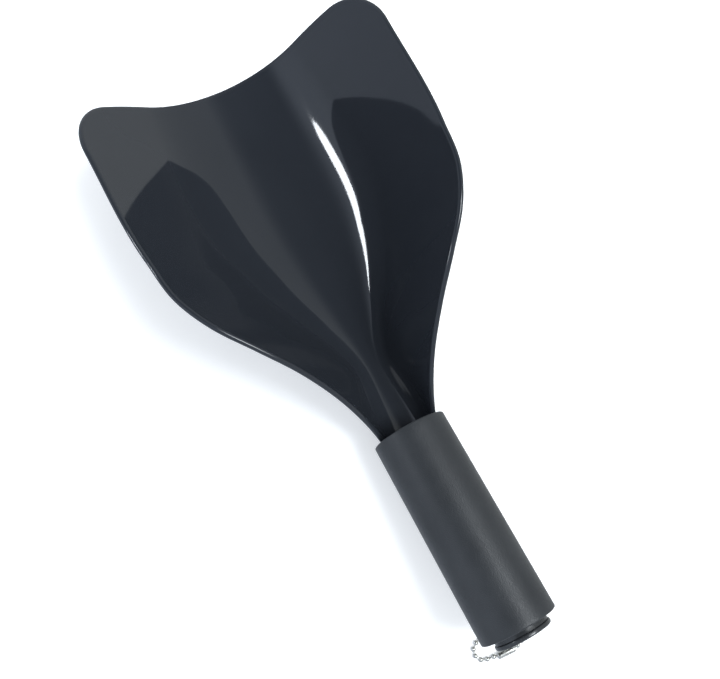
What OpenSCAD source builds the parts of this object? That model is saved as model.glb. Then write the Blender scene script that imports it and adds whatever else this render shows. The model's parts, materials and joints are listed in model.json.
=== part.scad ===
// One-hand scoop: a deep moulded trough whose neck runs on as a hollow shank, a foam sleeve on the
// shank, a plug in its butt end and a ball-chain hang loop threaded through the plug.
//
// The tool is drawn in handle axes first: Y runs along the shank from the sleeve's mouth (y = 0)
// towards the scoop's front edge, X is across and Z points out of the trough. It is then laid down
// the way it rests on a table, on the sleeve's mouth and on the middle of the front edge.

/* [Scoop] */
// Distance from the sleeve's mouth to the middle of the front edge
scoop_reach = 209.5; // [200:0.5:212]
// Thickness of the moulded sheet
sheet = 2.6; // [2:0.1:3.2]
// Rounding of the two front corners, measured in the sheet
corner = 25; // [15:1:28]
// How far the middle of the front edge stands ahead of its ends
front_bow = 10; // [4:1:14]

/* [Handle] */
// Outer diameter of the foam sleeve
sleeve_d = 38.1; // [36:0.1:42]
// Length of the foam sleeve and of the shank in it
sleeve_length = 101.6; // [95:0.1:120]
// Outer diameter of the shank
shank_d = 28.6; // [28:0.1:30]
// Wall of the shank
shank_wall = 2.4; // [2:0.1:3]

/* [End cap] */
// Diameter of the rounded rim
rim_d = 28.2; // [27:0.1:30]
// Length of the rounded rim
rim_length = 2.3; // [2:0.1:4]
// Diameter of the neck between the sleeve and the rim
neck_d = 26.8; // [25:0.1:27.5]
// Length of the neck
neck_length = 2.4; // [2:0.1:4]
// Length of the spigot pressed into the shank
spigot_length = 16; // [10:1:25]

/* [Hang chain] */
// Diameter of one ball
ball_d = 2.4; // [2.2:0.1:2.5]
// Diameter of the wire links between the balls
link_d = 0.8; // [0.6:0.1:1]
// Number of ball places round the loop
ball_count = 46; // [46:1:46]
// Which ball place the connector stands in for
connector_place = 15; // [15:1:15]
// Outer diameter of the connector's barrel
connector_d = 3.4; // [3.2:0.1:3.6]
// Length of the connector's barrel
connector_length = 9.5; // [9:0.1:10]

/* [Hidden] */
$fn = 96;
tiny = 0.01;

// ---- the sheet of the scoop -------------------------------------------------------------------
// The rim at hand-chosen places along the handle: [y, half width, height]
RIM = [
    [-5, 12.2, -4], [10, 17.2, 13.2], [24, 24.6, 29.7], [38, 35.2, 46.5], [52, 47.6, 58],
    [66, 59.4, 65.6], [82, 68, 69.4], [106, 72.6, 71.6], [170, 75.8, 76.1], [212, 78, 79.2]
];
// The trough along its middle: [y, height of the floor, slope of the flanks in degrees]
TROUGH = [[-5, -12.2, 90], [30, -8, 66], [70, -2, 57], [120, 5.5, 57], [212, 19.3, 49]];
// The sheet begins inside the wall that closes the shank
root_y = -5;
// Section whose length sets where the front corners begin
corner_y = 190;
// Arc length over which front_bow is measured
bow_span = 71;
// How much further back a front corner begins than its rounding is wide
corner_stretch = 0.9;
cells_across = 44;
cells_along = 50;

// Smooth curve through column c of a table whose first column is x
function place(t, x, i = 0) = i < len(t) - 2 && x > t[i + 1][0] ? place(t, x, i + 1) : i;
function chord(t, i, c) = (t[i + 1][c] - t[i][c]) / (t[i + 1][0] - t[i][0]);
function gap(t, i) = t[i + 1][0] - t[i][0];
function slope(t, i, c) =
    i == 0 ? chord(t, 0, c)
    : i == len(t) - 1 ? chord(t, i - 1, c)
    : (chord(t, i - 1, c) * gap(t, i) + chord(t, i, c) * gap(t, i - 1)) / (gap(t, i) + gap(t, i - 1));
function smooth(t, x, c) =
    let (i = place(t, x), h = gap(t, i), u = (x - t[i][0]) / h)
    (2 * u ^ 3 - 3 * u ^ 2 + 1) * t[i][c] + (u ^ 3 - 2 * u ^ 2 + u) * h * slope(t, i, c)
    + (3 * u ^ 2 - 2 * u ^ 3) * t[i + 1][c] + (u ^ 3 - u ^ 2) * h * slope(t, i + 1, c);

// A section is an arc in the floor with a straight flank on each side: [radius, flank length, angle]
function section(y) =
    let (
        w = smooth(RIM, y, 1),
        h = smooth(RIM, y, 2) - smooth(TROUGH, y, 1),
        a = smooth(TROUGH, y, 2),
        r = (w * sin(a) - h * cos(a)) / (1 - cos(a))
    )
    [r, (h - r * (1 - cos(a))) / sin(a), a];
function arc_length(q) = q[0] * q[2] * PI / 180;
function half_length(q) = arc_length(q) + q[1];
// Middle of the sheet at distance y along the handle and share f, from -1 to 1, of the half section
function sheet_point(y, f) =
    let (
        q = section(y),
        s = abs(f) * half_length(q),
        on_arc = s < arc_length(q),
        a = on_arc ? s / q[0] * 180 / PI : q[2],
        d = on_arc ? 0 : s - arc_length(q)
    )
    [
        sign(f) * (q[0] * sin(a) + d * cos(q[2])),
        y,
        smooth(TROUGH, y, 1) + q[0] * (1 - cos(a)) + d * sin(q[2])
    ];
// Where the front edge cuts the line of share f
full = half_length(section(corner_y));
function front_y(f) =
    let (s = abs(f) * full, u = min(1, max(0, (s - full + corner) / corner)))
    scoop_reach - front_bow * (s / bow_span) ^ 2 - corner_stretch * corner * (1 - sqrt(1 - u ^ 2));

// Shares across the sheet, closer together towards the rim
function share(i) = let (u = 2 * i / cells_across - 1) (u + sin(90 * u)) / 2;
function along(i, j) = root_y + (front_y(share(i)) - root_y) * j / cells_along;
function grid_point(i, j) = sheet_point(along(i, j), share(i));
function unit(v) = v / norm(v);
function normal_at(i, j) =
    let (y = along(i, j), f = share(i), e = 0.002)
    unit(cross(
        sheet_point(y, min(1, f + e)) - sheet_point(y, max(-1, f - e)),
        sheet_point(y + 0.1, f) - sheet_point(y - 0.1, f)
    ));

// The free edge: up one side from the shank, across the front and back down the other side
edge = concat(
    [for (j = [0:cells_along]) [0, j]],
    [for (i = [1:cells_across]) [i, cells_along]],
    [for (j = [cells_along - 1:-1:0]) [cells_across, j]]
);
function edge_point(k) =
    let (
        m = edge[k],
        before = edge[max(0, k - 1)],
        after = edge[min(len(edge) - 1, k + 1)],
        run = unit(grid_point(after[0], after[1]) - grid_point(before[0], before[1]))
    )
    grid_point(m[0], m[1]) + sheet / 2 * unit(cross(normal_at(m[0], m[1]), run));

columns = cells_across + 1;
skin = columns * (cells_along + 1);
function index(i, j) = j * columns + i;

// ---- how the tool lies ------------------------------------------------------------------------
front_floor = smooth(TROUGH, scoop_reach, 1);
tilt = atan((front_floor - sheet / 2 + sleeve_d / 2) / scoop_reach);
butt_y = -sleeve_length - neck_length - rim_length;
foremost = (scoop_reach + sheet / 2) * cos(tilt) + front_floor * sin(tilt);
// Rounding of the rim at the butt end
rim_round = 0.8;
rearmost = (butt_y + rim_round) * cos(tilt) - (rim_d / 2 - rim_round) * sin(tilt) - rim_round;
middle_y = (foremost + rearmost) / 2;
axis_height = sleeve_d / 2 * cos(tilt);

module on_table() translate([0, -middle_y, 0]) children();
module lay_down() on_table() translate([0, 0, axis_height]) rotate([-tilt, 0, 0]) children();
// Turns a profile of [radius, y] round the handle's axis
module turned(profile) rotate([-90, 0, 0]) rotate_extrude() polygon(profile);
// Quarter round from angle a to b about a centre
function fillet(centre, r, a, b) =
    [for (k = [0:6]) centre + r * [cos(a + (b - a) * k / 6), sin(a + (b - a) * k / 6)]];

// ---- scoop and shank --------------------------------------------------------------------------
shank_end = -3;
shank_stop = 3;

module scoop_sheet() {
    points = concat(
        [for (j = [0:cells_along], i = [0:cells_across]) grid_point(i, j) + sheet / 2 * normal_at(i, j)],
        [for (j = [0:cells_along], i = [0:cells_across]) grid_point(i, j) - sheet / 2 * normal_at(i, j)],
        [for (k = [0:len(edge) - 1]) edge_point(k)]
    );
    inner = [
        for (j = [0:cells_along - 1], i = [0:cells_across - 1])
        each [
            [index(i, j), index(i, j + 1), index(i + 1, j + 1)],
            [index(i, j), index(i + 1, j + 1), index(i + 1, j)]
        ]
    ];
    outer = [for (t = inner) [t[0] + skin, t[2] + skin, t[1] + skin]];
    lip = [
        for (k = [0:len(edge) - 2])
        let (
            a = index(edge[k][0], edge[k][1]),
            b = index(edge[k + 1][0], edge[k + 1][1]),
            e = 2 * skin + k
        )
        each [[a, e + 1, b], [a, e, e + 1], [e, b + skin, e + 1], [e, a + skin, b + skin]]
    ];
    last = 2 * skin + len(edge) - 1;
    root = concat(
        [for (i = [0:cells_across - 1]) each [[i, i + 1, i + 1 + skin], [i, i + 1 + skin, i + skin]]],
        [[0, skin, 2 * skin], [cells_across, last, cells_across + skin]]
    );
    polyhedron(points, concat(inner, outer, lip, root), convexity = 6);
}

module shank() {
    bore = shank_d / 2 - shank_wall;
    stop_y = shank_end - shank_stop;
    turned([
        [0, shank_end], [shank_d / 2, shank_end], [shank_d / 2, -sleeve_length],
        [bore, -sleeve_length], [bore, stop_y], [0, stop_y]
    ]);
}

module scoop() {
    color([0.03, 0.035, 0.045])
        lay_down() {
            scoop_sheet();
            shank();
        }
}

// ---- foam sleeve ------------------------------------------------------------------------------
module grip_sleeve() {
    color([0.22, 0.23, 0.24])
        lay_down()
            turned([
                [shank_d / 2, 0], [sleeve_d / 2, 0],
                [sleeve_d / 2, -sleeve_length], [shank_d / 2, -sleeve_length]
            ]);
}

// ---- end cap ----------------------------------------------------------------------------------
spigot_r = shank_d / 2 - shank_wall;
spigot_wall = 1.5;
dish_d = 22.5;
dish_depth = 2;
end_wall = 2.4;
chain_hole_d = 3.6;
chain_hole_x = 5;
chain_hole_z = -6.5;

module end_cap() {
    cap_bore = spigot_r - spigot_wall;
    spigot_y = -sleeve_length + spigot_length;
    rim_y = -sleeve_length - neck_length;
    dish_y = butt_y + dish_depth;
    color([0.04, 0.045, 0.05])
        lay_down()
            difference() {
                turned(concat(
                    [[cap_bore, dish_y + end_wall], [cap_bore, spigot_y], [spigot_r - 0.6, spigot_y]],
                    [[spigot_r, spigot_y - 1.2], [spigot_r, -sleeve_length]],
                    [[neck_d / 2, -sleeve_length], [neck_d / 2, rim_y]],
                    fillet([rim_d / 2 - 0.8, rim_y - 0.8], 0.8, 90, 0),
                    fillet([rim_d / 2 - rim_round, butt_y + rim_round], rim_round, 0, -90),
                    [[dish_d / 2, butt_y], [dish_d / 2, dish_y], [0, dish_y], [0, dish_y + end_wall]]
                ));
                for (side = [-1, 1])
                    translate([side * chain_hole_x, dish_y - 1, chain_hole_z])
                        rotate([-90, 0, 0]) cylinder(d = chain_hole_d, h = end_wall + 2);
            }
}

// ---- hang chain -------------------------------------------------------------------------------
// The loop lies in table axes: z = 0 is the table and y = 0 is below the sleeve's mouth. It starts
// inside the cap, leaves by the right hole, drops behind the cap, turns on the table, lies in a
// small bight under the handle and climbs back to the left hole.
ROUTE = [
    [0, -95.6, 29.4], [3.5, -97.1, 29.7], [5, -100.5, 30.3], [5, -104, 30.5], [5, -107.4, 29.2],
    [5, -109.1, 26], [4.9, -109.7, 20], [4.7, -111, 14], [4.2, -113.2, 8.5], [3, -116.1, 4],
    [-0.3, -118.1, 1.9], [-5, -118.2, 1.7], [-9.5, -117.9, 1.7], [-13, -117.1, 1.3],
    [-16.5, -116.6, 1.2], [-19.6, -115.2, 1.2], [-21, -112, 1.2], [-19.8, -108.7, 1.2],
    [-16.8, -107, 1.2], [-13, -106.4, 1.2], [-10.2, -104.9, 1.2], [-8.9, -101.9, 1.2],
    [-7.5, -98.5, 1.2], [-4, -97, 1.2], [-0.5, -98.5, 1.2], [0.9, -101.9, 1.2],
    [-0.4, -105.3, 1.5], [-3.2, -108, 3.4], [-4.8, -109.3, 8], [-5, -109.7, 14],
    [-5, -109.6, 20], [-5, -109.1, 26], [-5, -107.4, 29.2], [-5, -104, 30.5], [-5, -100.5, 30.3],
    [-3.5, -97.1, 29.7]
];
// Steps of the smooth line between two points of the route
ROUTE_STEPS = 8;

function stop(k) = ROUTE[(k + len(ROUTE)) % len(ROUTE)];
function route_point(k, u) =
    (stop(k) * (2 - 5 * u ^ 2 + 3 * u ^ 3) + stop(k + 1) * (u + 4 * u ^ 2 - 3 * u ^ 3)
    - stop(k - 1) * (u - 2 * u ^ 2 + u ^ 3) - stop(k + 2) * (u ^ 2 - u ^ 3)) / 2;
line = [
    for (k = [0:len(ROUTE)], step = [0:ROUTE_STEPS - 1])
    if (k < len(ROUTE) || step == 0) route_point(k, step / ROUTE_STEPS)
];
travelled = [
    for (i = 0, s = 0; i < len(line); s = s + norm(line[min(i + 1, len(line) - 1)] - line[i]), i = i + 1) s
];
loop_length = travelled[len(travelled) - 1];
pitch = loop_length / ball_count;
function at_length(s) =
    [for (c = [0:2]) lookup(s, [for (i = [0:len(line) - 1]) [travelled[i], line[i][c]]])];
// Share of a pitch from the start of the line to the first ball
first_ball = 0.98;
function ball_place(k) = at_length((k + first_ball) * pitch);
connector_centre = ball_place(connector_place);
connector_axis = unit(ball_place(connector_place + 1) - ball_place(connector_place - 1));
connector_wall = 0.35;
// Distance from the connector's middle to each of the two balls caught in it, a little clear of its end
caught = connector_length / 2 - connector_wall - ball_d / 2 - 0.1;
balls = [
    for (k = [0:ball_count - 1])
    let (past = k - connector_place)
    abs(past) == 1 ? connector_centre + past * caught * connector_axis : ball_place(k)
];

// Points a Z-aligned child along v
module aim(v) rotate([0, acos(v[2] / norm(v)), atan2(v[1], v[0])]) children();

module chain_balls() {
    color([0.75, 0.75, 0.74])
        on_table()
            for (k = [0:ball_count - 1])
                if (k != connector_place)
                    translate(balls[k]) sphere(d = ball_d, $fn = 24);
}

module chain_links() {
    bite = 0.15;
    color([0.68, 0.68, 0.67])
        on_table()
            for (k = [0:ball_count - 1])
                if (k != connector_place && k + 1 != connector_place) {
                    a = balls[k];
                    b = balls[(k + 1) % ball_count];
                    reach = ball_d / 2 - bite;
                    translate(a + reach * unit(b - a))
                        aim(b - a) cylinder(d = link_d, h = norm(b - a) - 2 * reach, $fn = 16);
                }
}

module chain_connector() {
    slot = 1.1;
    mouth = 1.8;
    // Turns the slot from the table to the top, a little towards the butt
    slot_turn = 160;
    bore_d = connector_d - 2 * connector_wall;
    bore_length = connector_length - 2 * connector_wall;
    color([0.72, 0.72, 0.7])
        on_table()
            translate(connector_centre) aim(connector_axis) rotate([0, 0, slot_turn])
                difference() {
                    cylinder(d = connector_d, h = connector_length, center = true, $fn = 32);
                    cylinder(d = bore_d, h = bore_length, center = true, $fn = 32);
                    cylinder(d = mouth, h = connector_length + 1, center = true, $fn = 24);
                    translate([0, -slot / 2, -connector_length / 2 - tiny])
                        cube([connector_d, slot, connector_length + 2 * tiny]);
                }
}

scoop();
grip_sleeve();
end_cap();
chain_balls();
chain_links();
chain_connector();
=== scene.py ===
"""A one-hand scoop: a deep glossy trough whose neck runs on as a shank, a foam sleeve on the shank, a
plug in its butt end and a ball-chain hang loop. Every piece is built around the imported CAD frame.

Sizes are in millimetres and in the tool's own handle axes unless a name says otherwise: Y runs from the
sleeve's mouth to the scoop's front edge, X is across and Z points out of the trough."""

import json
import math

import bmesh
import bpy
import numpy as np
from mathutils import Matrix, Vector


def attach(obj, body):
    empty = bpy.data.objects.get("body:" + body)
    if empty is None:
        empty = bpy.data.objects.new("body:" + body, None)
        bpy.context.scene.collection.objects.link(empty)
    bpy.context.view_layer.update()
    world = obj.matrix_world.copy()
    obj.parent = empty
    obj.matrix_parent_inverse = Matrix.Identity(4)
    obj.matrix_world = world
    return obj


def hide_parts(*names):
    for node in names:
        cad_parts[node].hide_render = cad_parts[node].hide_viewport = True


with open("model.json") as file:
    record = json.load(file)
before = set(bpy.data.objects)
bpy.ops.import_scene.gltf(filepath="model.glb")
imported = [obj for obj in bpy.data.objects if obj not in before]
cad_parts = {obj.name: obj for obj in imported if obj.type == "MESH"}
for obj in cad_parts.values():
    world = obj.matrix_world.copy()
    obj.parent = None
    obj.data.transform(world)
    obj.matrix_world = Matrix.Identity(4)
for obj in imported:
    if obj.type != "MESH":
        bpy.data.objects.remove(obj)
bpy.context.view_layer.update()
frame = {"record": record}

MM = 0.001
GRIP = next(m for m in frame["record"]["mounts"] if m["name"] == "grip")
SLEEVE_R = GRIP["dims"]["r_mm"]
SLEEVE_LENGTH = GRIP["dims"]["length_mm"]

# ---- the handle axes in the row frame -----------------------------------------------------------
TO_FRONT = -Vector(GRIP["axis"]).normalized()
ACROSS = Vector((1, 0, 0))
OUT = ACROSS.cross(TO_FRONT)
MOUTH = Vector(GRIP["pos_m"]) + TO_FRONT * (SLEEVE_LENGTH / 2 * MM)
TURN = np.array([ACROSS, TO_FRONT, OUT])


def to_row(points):
    """Points in handle axes and millimetres, in the row frame and metres."""
    return np.asarray(points, float) @ TURN * MM + np.array(MOUTH)


# ---- camera -------------------------------------------------------------------------------------
CAMERA_PLACE = (-49.2, -57.2, 359.1)
CAMERA_AIM = (0.95, 53.3, 0)
CAMERA_UP = (0.4494, 0.8343, 0.3195)
CAMERA_LENS = 36.92


def make_camera():
    data = bpy.data.cameras.new("camera")
    data.lens = CAMERA_LENS
    camera = bpy.data.objects.new("camera", data)
    bpy.context.scene.collection.objects.link(camera)
    place, aim = (Vector(to_row(p)) for p in (CAMERA_PLACE, CAMERA_AIM))
    back = (place - aim).normalized()
    up = Vector(np.array(CAMERA_UP) @ TURN)
    right = up.cross(back).normalized()
    up = back.cross(right)
    camera.matrix_world = Matrix.Translation(place) @ Matrix((right, up, back)).transposed().to_4x4()
    bpy.context.scene.camera = camera


# ---- mesh helpers -------------------------------------------------------------------------------
def piece(name, points, faces, material, body="tool"):
    """A smooth-shaded piece from points in the row frame."""
    bm = bmesh.new()
    corners = [bm.verts.new(p) for p in points]
    for face in faces:
        bm.faces.new([corners[i] for i in face])
    bmesh.ops.recalc_face_normals(bm, faces=bm.faces)
    mesh = bpy.data.meshes.new(name)
    bm.to_mesh(mesh)
    bm.free()
    mesh.shade_smooth()
    mesh.materials.append(material)
    made = bpy.data.objects.new(name, mesh)
    bpy.context.scene.collection.objects.link(made)
    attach(made, body)
    return made


def rings(count, around, closed_ends=False):
    """Faces between rings of points, and over the first and last ring if they are ends."""
    faces = []
    for r in range(count - 1):
        for k in range(around):
            a, b = r * around + k, r * around + (k + 1) % around
            faces.append((a, b, b + around, a + around))
    if closed_ends:
        faces.append(tuple(range(around))[::-1])
        faces.append(tuple(range((count - 1) * around, count * around)))
    return faces


def quarter(centre, radius, start, stop, steps=6):
    """Points on an arc about a centre, from one angle to another in degrees."""
    angles = np.radians(np.linspace(start, stop, steps + 1))
    return [(centre[0] + radius * math.cos(a), centre[1] + radius * math.sin(a)) for a in angles]


def turned(profile, around=128):
    """A profile of (radius, y) turned round the handle's axis: points in handle axes, and faces."""
    spin = np.linspace(0, 2 * math.pi, around, endpoint=False)
    points, faces, ring_at = [], [], []
    for radius, y in profile:
        if radius < 1e-6:
            ring_at.append([len(points)] * around)
            points.append((0, y, 0))
        else:
            ring_at.append(list(range(len(points), len(points) + around)))
            points += [(radius * math.cos(a), y, radius * math.sin(a)) for a in spin]
    for low, high in zip(ring_at, ring_at[1:] + ring_at[:1]):
        for k in range(around):
            n = (k + 1) % around
            corners = list(dict.fromkeys((low[k], low[n], high[n], high[k])))
            if len(corners) > 2:
                faces.append(corners)
    return points, faces


# ---- materials ----------------------------------------------------------------------------------
class Shader:
    """A material's nodes, with short names for the few kinds that this scene uses."""

    def __init__(self, name):
        self.material = bpy.data.materials.new(name)
        self.material.use_nodes = True
        self.nodes = self.material.node_tree.nodes
        self.links = self.material.node_tree.links
        self.surface = self.nodes["Principled BSDF"]
        self.where = self.nodes.new("ShaderNodeTexCoord").outputs["Object"]

    def set(self, **values):
        for name, value in values.items():
            socket = name.replace("_", " ").title().replace("Ior", "IOR")
            self.surface.inputs[socket].default_value = value

    def noise(self, scale, detail=2.0, roughness=0.5, where=None):
        node = self.nodes.new("ShaderNodeTexNoise")
        node.inputs["Scale"].default_value = scale
        node.inputs["Detail"].default_value = detail
        node.inputs["Roughness"].default_value = roughness
        self.links.new(where or self.where, node.inputs["Vector"])
        return node.outputs["Fac"]

    def cells(self, scale):
        node = self.nodes.new("ShaderNodeTexVoronoi")
        node.inputs["Scale"].default_value = scale
        self.links.new(self.where, node.inputs["Vector"])
        return node.outputs["Distance"]

    def stretched(self, scale):
        node = self.nodes.new("ShaderNodeMapping")
        node.inputs["Scale"].default_value = scale
        self.links.new(self.where, node.inputs["Vector"])
        return node.outputs["Vector"]

    def ramp(self, value, low, high, start=0.0, stop=1.0):
        """Colour from low to high as value goes from start to stop."""
        node = self.nodes.new("ShaderNodeValToRGB")
        first, last = node.color_ramp.elements
        first.position, last.position = start, stop
        first.color, last.color = (*low, 1), (*high, 1)
        self.links.new(value, node.inputs["Fac"])
        return node.outputs["Color"]

    def scale_range(self, value, low, high, start=0.0, stop=1.0):
        """Number from low to high as value goes from start to stop."""
        node = self.nodes.new("ShaderNodeMapRange")
        settings = {"From Min": start, "From Max": stop, "To Min": low, "To Max": high}
        for name, number in settings.items():
            node.inputs[name].default_value = number
        self.links.new(value, node.inputs["Value"])
        return node.outputs["Result"]

    def bumps(self, *layers):
        """Bump layers of (height, depth in metres, strength), each on top of the last."""
        normal = None
        for height, depth, strength in layers:
            node = self.nodes.new("ShaderNodeBump")
            node.inputs["Distance"].default_value = depth
            node.inputs["Strength"].default_value = strength
            self.links.new(height, node.inputs["Height"])
            if normal:
                self.links.new(normal, node.inputs["Normal"])
            normal = node.outputs["Normal"]
        self.join(normal, "Normal")

    def join(self, value, socket):
        self.links.new(value, self.surface.inputs[socket])


def scoop_plastic():
    """Glossy near-black moulded plastic: slow ripples of shrinkage, fine orange peel, faint rubs."""
    s = Shader("scoop_plastic")
    s.set(ior=1.43)
    dark, light = (0.0180, 0.0208, 0.0262), (0.0210, 0.0238, 0.0295)
    s.join(s.ramp(s.noise(9, 3), dark, light, 0.3, 0.7), "Base Color")
    rubs = s.noise(1, 5, 0.7, s.stretched((900, 40, 900)))
    s.join(s.scale_range(rubs, 0.05, 0.085, 0.4, 0.75), "Roughness")
    s.bumps((s.noise(38, 1), 0.00022, 0.25), (s.noise(900, 2), 0.000012, 0.2))
    return s.material


def foam():
    """Matte closed-cell foam: small pores, soft mottling and a slight sheen."""
    s = Shader("foam")
    s.set(ior=1.42, sheen_weight=0.03, sheen_roughness=0.5)
    dark, light = (0.0175, 0.0195, 0.0225), (0.0245, 0.027, 0.0305)
    s.join(s.ramp(s.noise(60, 4), dark, light, 0.3, 0.7), "Base Color")
    s.join(s.scale_range(s.noise(700, 3), 0.38, 0.46, 0.35, 0.65), "Roughness")
    mottling, pores, grain = s.noise(160, 2), s.cells(1900), s.noise(3600, 2)
    s.bumps((mottling, 0.00015, 0.2), (pores, 0.00012, 0.4), (grain, 0.00005, 0.4))
    return s.material


def cap_plastic():
    """Black moulded plastic, a little duller than the scoop, with scuffs."""
    s = Shader("cap_plastic")
    s.set(ior=1.5)
    dark, light = (0.018, 0.0195, 0.022), (0.026, 0.028, 0.031)
    s.join(s.ramp(s.noise(120, 3), dark, light, 0.3, 0.7), "Base Color")
    s.join(s.scale_range(s.noise(350, 5, 0.7), 0.16, 0.34, 0.35, 0.7), "Roughness")
    s.bumps((s.noise(260, 2), 0.00012, 0.35), (s.noise(2400, 2), 0.00002, 0.4))
    return s.material


def plated_metal(name, tone, roughness):
    """Nickel plating with handling marks and a few dull spots."""
    s = Shader(name)
    s.set(metallic=1.0)
    dull = tuple(0.72 * c for c in tone)
    s.join(s.ramp(s.noise(900, 4, 0.6), dull, tone, 0.35, 0.55), "Base Color")
    s.join(s.scale_range(s.noise(2200, 3), roughness, roughness + 0.16, 0.35, 0.7), "Roughness")
    s.bumps((s.noise(3000, 3), 0.00003, 0.4))
    return s.material


def floor_paper():
    """Matte white studio paper."""
    s = Shader("floor_paper")
    s.set(roughness=1.0, specular_ior_level=0.0, emission_color=(1, 1, 1, 1), emission_strength=0.3)
    s.join(s.ramp(s.noise(40, 3), (0.9, 0.9, 0.9), (0.92, 0.92, 0.92), 0.3, 0.7), "Base Color")
    return s.material


# ---- hang chain ---------------------------------------------------------------------------------
BALL_D = 2.4
LINK_D = 0.8
BALL_COUNT = 46
CONNECTOR_PLACE = 15
CONNECTOR_D = 3.4
CONNECTOR_LENGTH = 9.5
CONNECTOR_WALL = 0.35
CONNECTOR_MOUTH_R = 0.92
CONNECTOR_BEND = 0.7
CONNECTOR_AROUND = 41
# Half the slot's angle, and the side that it faces, in degrees about the connector's axis
SLOT_HALF = 19
SLOT_AT = 70
# How far the first ball's place is along the loop, in ball pitches
FIRST_BALL = 0.98
CAUGHT_PLAY = 0.1
# The ball's hole, how far the metal turns in there, and how finely balls and wires are turned
BALL_HOLE_R = 0.46
DIMPLE_IN = 0.9
DIMPLE_DEEP = 0.93
BALL_RINGS = 15
BALL_AROUND = 22
LINK_AROUND = 12
# A wire starts at this share of the ball's radius, a little thicker there
WIRE_START = 0.8
WIRE_ROOT = 1.02
# The loop lies in table axes: z = 0 is the table and y = 0 is below the sleeve's mouth. It starts
# inside the cap, leaves by the right hole, drops behind the cap, turns on the table, lies in a small
# bight under the handle and climbs back to the left hole.
ROUTE = np.array([
    [0, -95.6, 29.4], [3.5, -97.1, 29.7], [5, -100.5, 30.3], [5, -104, 30.5], [5, -107.4, 29.2],
    [5, -109.1, 26], [4.9, -109.7, 20], [4.7, -111, 14], [4.2, -113.2, 8.5], [3, -116.1, 4],
    [-0.3, -118.1, 1.9], [-5, -118.2, 1.7], [-9.5, -117.9, 1.7], [-13, -117.1, 1.3],
    [-16.5, -116.6, 1.2], [-19.6, -115.2, 1.2], [-21, -112, 1.2], [-19.8, -108.7, 1.2],
    [-16.8, -107, 1.2], [-13, -106.4, 1.2], [-10.2, -104.9, 1.2], [-8.9, -101.9, 1.2],
    [-7.5, -98.5, 1.2], [-4, -97, 1.2], [-0.5, -98.5, 1.2], [0.9, -101.9, 1.2],
    [-0.4, -105.3, 1.5], [-3.2, -108, 3.4], [-4.8, -109.3, 8], [-5, -109.7, 14],
    [-5, -109.6, 20], [-5, -109.1, 26], [-5, -107.4, 29.2], [-5, -104, 30.5], [-5, -100.5, 30.3],
    [-3.5, -97.1, 29.7],
])
ROUTE_STEPS = 8
# Where the table axes start in the row frame: on the table, below the sleeve's mouth
TABLE = np.array([0, MOUTH.y, 0])


def route_line():
    """The smooth closed line through the route's points, in the row frame and metres."""
    before, after, later = (np.roll(ROUTE, shift, axis=0) for shift in (1, -1, -2))
    line = []
    for k, here in enumerate(ROUTE):
        for u in np.arange(ROUTE_STEPS) / ROUTE_STEPS:
            line.append((
                here * (2 - 5 * u**2 + 3 * u**3) + after[k] * (u + 4 * u**2 - 3 * u**3)
                - before[k] * (u - 2 * u**2 + u**3) - later[k] * (u**2 - u**3)
            ) / 2)
    return np.array(line + [ROUTE[0]]) * MM + TABLE


def unit(v):
    return v / np.linalg.norm(v, axis=-1, keepdims=True)


LINE = route_line()
TRAVELLED = np.concatenate([[0], np.cumsum(np.linalg.norm(np.diff(LINE, axis=0), axis=1))])
LOOP_LENGTH = TRAVELLED[-1]


def ball_place(k):
    along = (k + FIRST_BALL) * LOOP_LENGTH / BALL_COUNT
    return np.array([np.interp(along, TRAVELLED, LINE[:, c]) for c in range(3)])


CONNECTOR_CENTRE = ball_place(CONNECTOR_PLACE)
CONNECTOR_AXIS = unit(ball_place(CONNECTOR_PLACE + 1) - ball_place(CONNECTOR_PLACE - 1))
CAUGHT = (CONNECTOR_LENGTH / 2 - CONNECTOR_WALL - BALL_D / 2 - CAUGHT_PLAY) * MM


def ball_centres():
    """Centres of all ball places. The two balls caught in the connector sit on its axis."""
    places = [ball_place(k) for k in range(BALL_COUNT)]
    for side in (-1, 1):
        places[CONNECTOR_PLACE + side] = CONNECTOR_CENTRE + side * CAUGHT * CONNECTOR_AXIS
    return places


# A sweep of this many radians or more closes on itself
FULL_TURN = 6.28


def turned_along(profile, centre, axis, around, start=0.0, stop=2 * math.pi):
    """A profile of (radius, distance along axis), in metres, turned about a line: rings of points."""
    side = unit(np.cross(axis, (0.0, 0.0, 1.0) if abs(axis[2]) < 0.9 else (1.0, 0.0, 0.0)))
    up = np.cross(axis, side)
    spin = np.linspace(start, stop, around, endpoint=stop - start < FULL_TURN)
    return [
        centre + axis * far + radius * (math.cos(a) * side + math.sin(a) * up)
        for radius, far in profile
        for a in spin
    ]


def add_turned(points, faces, profile, centre, axis, around):
    """Adds a closed turned shape to a growing mesh."""
    start = len(points)
    points += turned_along(profile, centre, axis, around)
    faces += [tuple(start + i for i in face) for face in rings(len(profile), around, True)]


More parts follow.
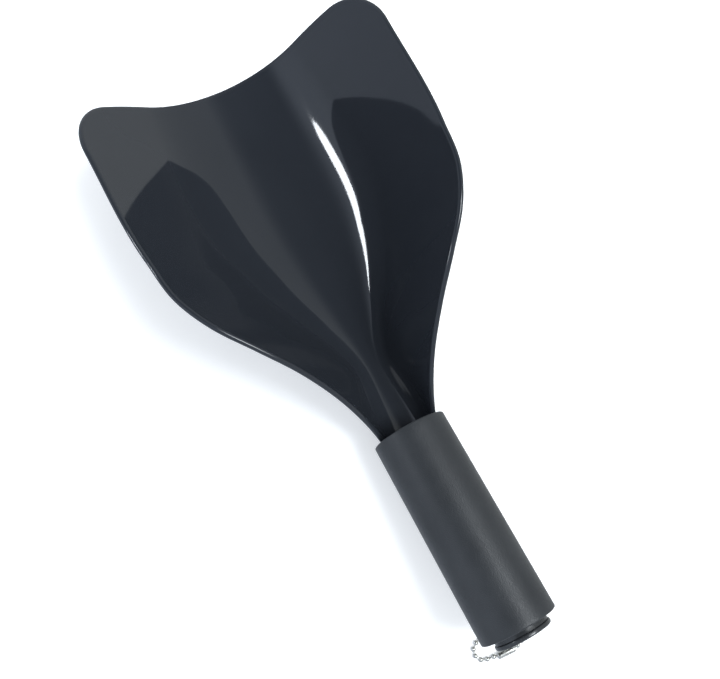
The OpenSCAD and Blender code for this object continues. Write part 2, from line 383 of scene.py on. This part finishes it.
def make_chain(material):
    """Hollow balls, each dimpled where the wire goes in, on dumb-bell links."""
    points, faces = [], []
    radius = BALL_D / 2 * MM
    hole = BALL_HOLE_R * MM
    lip = math.asin(hole / radius)
    sweep = np.linspace(lip, math.pi - lip, BALL_RINGS)
    dimple = (hole * DIMPLE_IN, -radius * math.cos(lip) * DIMPLE_DEEP)
    ball = [dimple] + [(radius * math.sin(a), -radius * math.cos(a)) for a in sweep]
    ball.append((dimple[0], -dimple[1]))
    centres = ball_centres()
    for k, centre in enumerate(centres):
        if k == CONNECTOR_PLACE:
            continue
        ahead = centres[(k + 1) % BALL_COUNT] - centre
        behind = centre - centres[k - 1]
        add_turned(points, faces, ball, centre, unit(unit(ahead) + unit(behind)), BALL_AROUND)
        if k + 1 != CONNECTOR_PLACE:
            span = np.linalg.norm(ahead)
            wire = LINK_D / 2 * MM
            root, reach = wire * WIRE_ROOT, radius * WIRE_START
            link = [(root, reach), (wire, radius), (wire, span - radius), (root, span - reach)]
            add_turned(points, faces, link, centre, ahead / span, LINK_AROUND)
    chain = piece("hang_chain", points, faces, material)
    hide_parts("chain_balls", "chain_links")
    return chain


def make_connector(material):
    """A barrel rolled from sheet: a slot along it, ends turned in to a small mouth."""
    outer, wall, half = CONNECTOR_D / 2, CONNECTOR_WALL, CONNECTOR_LENGTH / 2
    mouth, bend = CONNECTOR_MOUTH_R, CONNECTOR_BEND
    end = quarter((outer - bend, half - bend), bend, 0, 90, 7)
    end_inside = quarter((outer - bend, half - bend), bend - wall, 0, 90, 5)
    outside = [(r, -h) for r, h in end[::-1]] + end
    inside = [(r, -h) for r, h in end_inside[::-1]] + end_inside
    lip = [(mouth, half), (mouth, half - wall)]
    tail = [(mouth, wall - half), (mouth, -half)]
    profile = [(r * MM, h * MM) for r, h in outside + lip + inside[::-1] + tail]
    around, slot, open_at = CONNECTOR_AROUND, math.radians(SLOT_HALF), math.radians(SLOT_AT)
    points = turned_along(
        profile, CONNECTOR_CENTRE, CONNECTOR_AXIS, around, open_at + slot, open_at + 2 * math.pi - slot
    )
    faces, count = [], len(profile)
    for r in range(count):
        low, high = r * around, (r + 1) % count * around
        faces += [(low + k, low + k + 1, high + k + 1, high + k) for k in range(around - 1)]
    faces += [tuple(r * around + k for r in range(count)) for k in (0, around - 1)]
    connector = piece("chain_barrel", points, faces, material, body="connector")
    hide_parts("chain_connector")
    return connector


# ---- scoop --------------------------------------------------------------------------------------
SCOOP_REACH = 209.5
SHEET = 2.6
CORNER = 25
FRONT_BOW = 10
BOW_SPAN = 71
CORNER_STRETCH = 0.9
CORNER_Y = 190
ROOT_Y = -5
# The rim at listed places along the handle: y, half width, height
RIM = np.array([
    [-5, 12.2, -4], [10, 17.2, 13.2], [24, 24.6, 29.7], [38, 35.2, 46.5], [52, 47.6, 58],
    [66, 59.4, 65.6], [82, 68, 69.4], [106, 72.6, 71.6], [170, 75.8, 76.1], [212, 78, 79.2],
])
# The trough along its middle: y, height of the floor, slope of the flanks in degrees
TROUGH = np.array([[-5, -12.2, 90], [30, -8, 66], [70, -2, 57], [120, 5.5, 57], [212, 19.3, 49]])
INNER_COLUMNS, CORNER_COLUMNS, ROWS, LIP_STEPS = 38, 18, 150, 8
# Steps over which the sheet's normal is taken: in share of the half section, and along the handle
NORMAL_SHARE = 0.002
NORMAL_STEP = 0.1


def smooth(table, y, column):
    """Smooth curve through a column of a table, at each y."""
    x, v = table[:, 0], table[:, column]
    gap = np.diff(x)
    chord = np.diff(v) / gap
    inside = (chord[:-1] * gap[1:] + chord[1:] * gap[:-1]) / (gap[:-1] + gap[1:])
    slope = np.concatenate([chord[:1], inside, chord[-1:]])
    i = np.clip(np.searchsorted(x, y) - 1, 0, len(gap) - 1)
    u, h = (y - x[i]) / gap[i], gap[i]
    return (
        (2 * u**3 - 3 * u**2 + 1) * v[i] + (u**3 - 2 * u**2 + u) * h * slope[i]
        + (3 * u**2 - 2 * u**3) * v[i + 1] + (u**3 - u**2) * h * slope[i + 1]
    )


def section(y):
    """A section is an arc in the floor with a straight flank on each side: radius, flank, angle."""
    width = smooth(RIM, y, 1)
    height = smooth(RIM, y, 2) - smooth(TROUGH, y, 1)
    angle = np.radians(smooth(TROUGH, y, 2))
    radius = (width * np.sin(angle) - height * np.cos(angle)) / (1 - np.cos(angle))
    return radius, (height - radius * (1 - np.cos(angle))) / np.sin(angle), angle


def half_length(y):
    radius, flank, angle = section(y)
    return radius * angle + flank


def sheet_point(y, share):
    """Middle of the sheet at distance y along the handle and share, -1 to 1, of the half section."""
    radius, flank, angle = section(y)
    s = np.abs(share) * (radius * angle + flank)
    turn = np.minimum(s / radius, angle)
    straight = np.maximum(s - radius * angle, 0)
    across = np.sign(share) * (radius * np.sin(turn) + straight * np.cos(angle))
    height = smooth(TROUGH, y, 1) + radius * (1 - np.cos(turn)) + straight * np.sin(angle)
    return np.stack([across, y, height], axis=-1)


def sheet_normal(y, share):
    """Unit normal of the sheet, out of the trough."""
    e, step = NORMAL_SHARE, NORMAL_STEP
    over = sheet_point(y, np.minimum(1, share + e)) - sheet_point(y, np.maximum(-1, share - e))
    along = sheet_point(y + step, share) - sheet_point(y - step, share)
    return unit(np.cross(over, along))


FULL = half_length(np.array([float(CORNER_Y)]))[0]


def front_y(share):
    s = np.abs(share) * FULL
    u = np.clip((s - FULL + CORNER) / CORNER, 0, 1)
    bow = FRONT_BOW * (s / BOW_SPAN) ** 2
    return SCOOP_REACH - bow - CORNER_STRETCH * CORNER * (1 - np.sqrt(1 - u**2))


def column_shares():
    """Shares across the sheet: even in the middle, and spaced by angle where the corners are round."""
    flat = np.linspace(0, FULL - CORNER, INNER_COLUMNS + 1)
    angles = np.linspace(0, math.pi / 2, CORNER_COLUMNS + 1)[1:]
    half = np.concatenate([flat, FULL - CORNER + CORNER * np.sin(angles)]) / FULL
    return np.concatenate([-half[:0:-1], half])


def make_trough(material):
    """The moulded sheet, with a full round along its free edge."""
    shares = column_shares()
    columns = len(shares)
    y = ROOT_Y + (front_y(shares) - ROOT_Y) * np.linspace(0, 1, ROWS + 1)[:, None]
    share = np.broadcast_to(shares, y.shape)
    middle, normal = sheet_point(y, share), sheet_normal(y, share)
    inner = (middle + normal * SHEET / 2).reshape(-1, 3)
    outer = (middle - normal * SHEET / 2).reshape(-1, 3)
    skin = len(inner)

    edge = [(j, 0) for j in range(ROWS + 1)]
    edge += [(ROWS, i) for i in range(1, columns)]
    edge += [(j, columns - 1) for j in range(ROWS - 1, -1, -1)]
    edge_middle = np.array([middle[m] for m in edge])
    edge_normal = np.array([normal[m] for m in edge])
    run = unit(np.gradient(edge_middle, axis=0))
    away = unit(np.cross(edge_normal, run))
    bends = np.linspace(0, math.pi, LIP_STEPS + 1)[1:-1]
    lips = [edge_middle + SHEET / 2 * (math.cos(b) * edge_normal + math.sin(b) * away) for b in bends]

    def at(j, i):
        return j * columns + i

    faces = []
    for j in range(ROWS):
        for i in range(columns - 1):
            quad = (at(j, i), at(j, i + 1), at(j + 1, i + 1), at(j + 1, i))
            faces.append(quad)
            faces.append(tuple(skin + q for q in quad[::-1]))
    strips = [[at(*m) for m in edge]]
    for n in range(len(bends)):
        first = 2 * skin + n * len(edge)
        strips.append(list(range(first, first + len(edge))))
    strips.append([skin + at(*m) for m in edge])
    for low, high in zip(strips, strips[1:]):
        faces += [(low[k], high[k], high[k + 1], low[k + 1]) for k in range(len(edge) - 1)]
    faces += [(at(0, i), at(0, i + 1), skin + at(0, i + 1), skin + at(0, i)) for i in range(columns - 1)]
    faces.append(tuple(strip[0] for strip in strips))
    faces.append(tuple(strip[-1] for strip in strips[::-1]))

    points = to_row(np.concatenate([inner, outer, *lips]))
    trough = piece("trough", points.tolist(), faces, material)
    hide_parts("scoop")


SHANK_R = 14.3
SHANK_WALL = 2.4
SHANK_END = -3
SHANK_STOP = 3


def make_shank(material):
    """The hollow shank inside the sleeve, closed at the front where the trough runs into it."""
    bore = SHANK_R - SHANK_WALL
    soft = 0.8
    profile = [(0, SHANK_END)] + quarter((SHANK_R - soft, SHANK_END - soft), soft, 90, 0)
    profile += [(SHANK_R, -SLEEVE_LENGTH), (bore, -SLEEVE_LENGTH)]
    profile += [(bore, SHANK_END - SHANK_STOP), (0, SHANK_END - SHANK_STOP)]
    points, faces = turned(profile)
    shank = piece("shank", to_row(points).tolist(), faces, material)


# ---- foam sleeve --------------------------------------------------------------------------------
SLEEVE_GAP = 0.02
SLEEVE_SOFT = 0.7
SLEEVE_RINGS = 40
SLEEVE_AROUND = 160


def make_sleeve(material):
    """A cut length of foam tube, its edges a little soft."""
    soft = SLEEVE_SOFT
    front, back = -soft, soft - SLEEVE_LENGTH
    long_run = np.linspace(front, back, SLEEVE_RINGS)
    profile = quarter((SLEEVE_R - soft, front), soft, 90, 0)
    profile += [(SLEEVE_R, y) for y in long_run[1:-1]]
    profile += quarter((SLEEVE_R - soft, back), soft, 0, -90)
    bore = SHANK_R + SLEEVE_GAP
    profile += [(bore, -SLEEVE_LENGTH), (bore, 0)]
    points, faces = turned(profile, SLEEVE_AROUND)
    sleeve = piece("foam_sleeve", to_row(points).tolist(), faces, material)
    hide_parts("grip_sleeve")


# ---- end cap ------------------------------------------------------------------------------------
RIM_D = 28.2
RIM_LENGTH = 2.3
NECK_D = 26.8
NECK_LENGTH = 2.4
RIM_ROUND = 0.8
DISH_D = 22.5
DISH_DEPTH = 2
END_WALL = 2.4
CHAIN_HOLE_D = 3.6
CHAIN_HOLE_X = 5
CHAIN_HOLE_Z = -6.5
SPIGOT_LENGTH = 16
SPIGOT_WALL = 1.5
SPIGOT_TAPER = 0.6
SPIGOT_TAPER_LENGTH = 1.2
NECK_ROOT = 0.3
SHARP_ABOVE = 35
HOLE_AROUND = 32
DRILL_OVER = 2


def make_cap(material):
    """The plug: a rounded rim with a dish in its end, a neck, and a spigot inside the shank."""
    spigot = SHANK_R - SHANK_WALL
    bore = spigot - SPIGOT_WALL
    butt = -SLEEVE_LENGTH - NECK_LENGTH - RIM_LENGTH
    rim = -SLEEVE_LENGTH - NECK_LENGTH
    dish, inside = butt + DISH_DEPTH, butt + DISH_DEPTH + END_WALL
    spigot_end = SPIGOT_LENGTH - SLEEVE_LENGTH
    soft = 0.4
    profile = [(0, inside), (bore, inside), (bore, spigot_end), (spigot - SPIGOT_TAPER, spigot_end)]
    profile += [(spigot, spigot_end - SPIGOT_TAPER_LENGTH), (spigot, -SLEEVE_LENGTH)]
    profile += [(NECK_D / 2, -SLEEVE_LENGTH), (NECK_D / 2, rim + NECK_ROOT)]
    profile += quarter((RIM_D / 2 - RIM_ROUND, rim - RIM_ROUND), RIM_ROUND, 80, 0)
    profile += quarter((RIM_D / 2 - RIM_ROUND, butt + RIM_ROUND), RIM_ROUND, 0, -90, 10)
    profile += quarter((DISH_D / 2 + soft, butt + soft), soft, -90, -180)
    profile += quarter((DISH_D / 2 - soft, dish - soft), soft, 0, 90)
    profile += [(0, dish)]
    points, faces = turned(profile)
    cap = piece("butt_plug", to_row(points).tolist(), faces, material)
    for side in (-1, 1):
        centre = (side * CHAIN_HOLE_X, dish + END_WALL / 2, CHAIN_HOLE_Z)
        drill(cap, centre, CHAIN_HOLE_D / 2, END_WALL + DRILL_OVER)
    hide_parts("end_cap")


def drill(target, centre, radius, depth):
    """Cuts a round hole along the handle's axis, applies it, and keeps the edges crisp."""
    spin = np.linspace(0, 2 * math.pi, HOLE_AROUND, endpoint=False)
    points = [
        (centre[0] + radius * math.cos(a), centre[1] + end * depth / 2, centre[2] + radius * math.sin(a))
        for end in (-1, 1)
        for a in spin
    ]
    faces = rings(2, HOLE_AROUND, True)
    bit = piece("drill_bit", to_row(points).tolist(), faces, target.data.materials[0])
    cut = target.modifiers.new("hole", "BOOLEAN")
    cut.operation, cut.solver, cut.object = "DIFFERENCE", "EXACT", bit
    bpy.context.view_layer.update()
    made = bpy.data.meshes.new_from_object(target.evaluated_get(bpy.context.evaluated_depsgraph_get()))
    target.modifiers.clear()
    target.data = made
    target.data.set_sharp_from_angle(angle=math.radians(SHARP_ABOVE))
    bpy.data.objects.remove(bit)


# ---- floor and light ----------------------------------------------------------------------------
def direction(azimuth, elevation):
    """Unit vector in the row frame: azimuth from +X towards +Y and elevation, in degrees."""
    a, e = math.radians(azimuth), math.radians(elevation)
    return Vector((math.cos(a) * math.cos(e), math.sin(a) * math.cos(e), math.sin(e)))


KEY_DIRECTION = direction(153, 28)
KEY_DISTANCE = 1.6
KEY_RADIUS = 0.1
KEY_POWER = 3.5
KEY_TONE = (0.90, 0.95, 1.0)
LIT_PLACE = (0, 110, 30)
FLOOR_HALF = 2.5


def make_floor(material):
    half = FLOOR_HALF
    mesh = bpy.data.meshes.new("floor")
    corners = [(-half, -half, 0), (half, -half, 0), (half, half, 0), (-half, half, 0)]
    mesh.from_pydata(corners, [], [(0, 1, 2, 3)])
    mesh.materials.append(material)
    floor = bpy.data.objects.new("floor", mesh)
    bpy.context.scene.collection.objects.link(floor)
    # White under the studio light, but no brighter in the gloss than the rest of the surroundings
    floor.visible_glossy = False


# Darker and brighter parts of the surroundings: azimuth, elevation, the angle within which each is
# full and the one beyond which it is nothing, all in degrees, and how much it takes away or adds
DARK_CARDS = [(135, 55, 12, 26, 0.97), (80, 73, 8, 32, 0.95)]
BRIGHT_CARDS = [(170, 24, 8, 34, 0.6), (2, 38, 8, 22, 0.25), (-22, 63, 5, 16, 26.0)]
RIGHT_TONE = (0.62, 0.65, 0.66)
LEFT_TONE = (0.58, 0.65, 0.76)
# Angles from +X within which the tone is the right one and beyond which it is the left one
TONE_ANGLES = (30, 150)
FILL_HEIGHT = 1.5
FILL_SIZE = 2.2
FILL_POWER = 11.0
FILL_TONE = (0.98, 1.0, 1.0)


def lamp(name, place, size, power, tone, shape):
    light = bpy.data.lights.new(name, "AREA")
    light.shape = shape
    light.size = size
    light.energy = power
    light.color = tone
    made = bpy.data.objects.new(name, light)
    bpy.context.scene.collection.objects.link(made)
    aim = Vector(to_row(LIT_PLACE))
    made.location = place
    made.rotation_euler = (Vector(place) - aim).to_track_quat("Z", "Y").to_euler()
    return made


def make_lights():
    """Pale surroundings, darker overhead, with one small bright lamp and a soft fill above that the
    gloss doesn't show."""
    world = bpy.data.worlds.new("studio")
    bpy.context.scene.world = world
    world.use_nodes = True
    nodes, links = world.node_tree.nodes, world.node_tree.links
    ray = nodes.new("ShaderNodeTexCoord").outputs["Generated"]

    def share(towards, inner, outer, low, high):
        """Number that goes from low, beyond the outer angle, to high, within the inner angle."""
        dot = nodes.new("ShaderNodeVectorMath")
        dot.operation = "DOT_PRODUCT"
        dot.inputs[1].default_value = towards
        links.new(ray, dot.inputs[0])
        node = nodes.new("ShaderNodeMapRange")
        node.interpolation_type = "SMOOTHSTEP"
        settings = {"From Min": math.cos(math.radians(outer)), "From Max": math.cos(math.radians(inner))}
        for name, number in {**settings, "To Min": low, "To Max": high}.items():
            node.inputs[name].default_value = number
        links.new(dot.outputs["Value"], node.inputs["Value"])
        return node.outputs["Result"]

    def combine(operation, first, second):
        node = nodes.new("ShaderNodeMath")
        node.operation = operation
        for value, socket in ((first, node.inputs[0]), (second, node.inputs[1])):
            if isinstance(value, (int, float)):
                socket.default_value = value
            else:
                links.new(value, socket)
        return node.outputs["Value"]

    amount = 1.0
    for azimuth, elevation, inner, outer, depth in DARK_CARDS:
        dimmed = share(direction(azimuth, elevation), inner, outer, 1, 1 - depth)
        amount = combine("MULTIPLY", amount, dimmed)
    for azimuth, elevation, inner, outer, height in BRIGHT_CARDS:
        added = share(direction(azimuth, elevation), inner, outer, 0, height)
        amount = combine("ADD", amount, added)
    tone = nodes.new("ShaderNodeValToRGB")
    first, last = tone.color_ramp.elements
    first.color, last.color = (*LEFT_TONE, 1), (*RIGHT_TONE, 1)
    links.new(share(ACROSS, *TONE_ANGLES, 0, 1), tone.inputs["Fac"])
    background = nodes["Background"]
    links.new(tone.outputs["Color"], background.inputs["Color"])
    links.new(amount, background.inputs["Strength"])

    target = Vector(to_row(LIT_PLACE))
    lamp("key", target + KEY_DIRECTION * KEY_DISTANCE, 2 * KEY_RADIUS, KEY_POWER, KEY_TONE, "DISK")
    fill = lamp("fill", target + Vector((0, 0, FILL_HEIGHT)), FILL_SIZE, FILL_POWER, FILL_TONE, "SQUARE")
    fill.visible_glossy = False


# ---- the scene ----------------------------------------------------------------------------------
make_camera()
chain = make_chain(plated_metal("chain_metal", (0.66, 0.65, 0.61), 0.22))
connector = make_connector(plated_metal("connector_metal", (0.7, 0.69, 0.65), 0.18))
gloss = scoop_plastic()
make_trough(gloss)
make_shank(gloss)
make_sleeve(foam())
make_cap(cap_plastic())
make_floor(floor_paper())
make_lights()
bpy.context.scene.view_settings.view_transform = "Standard"
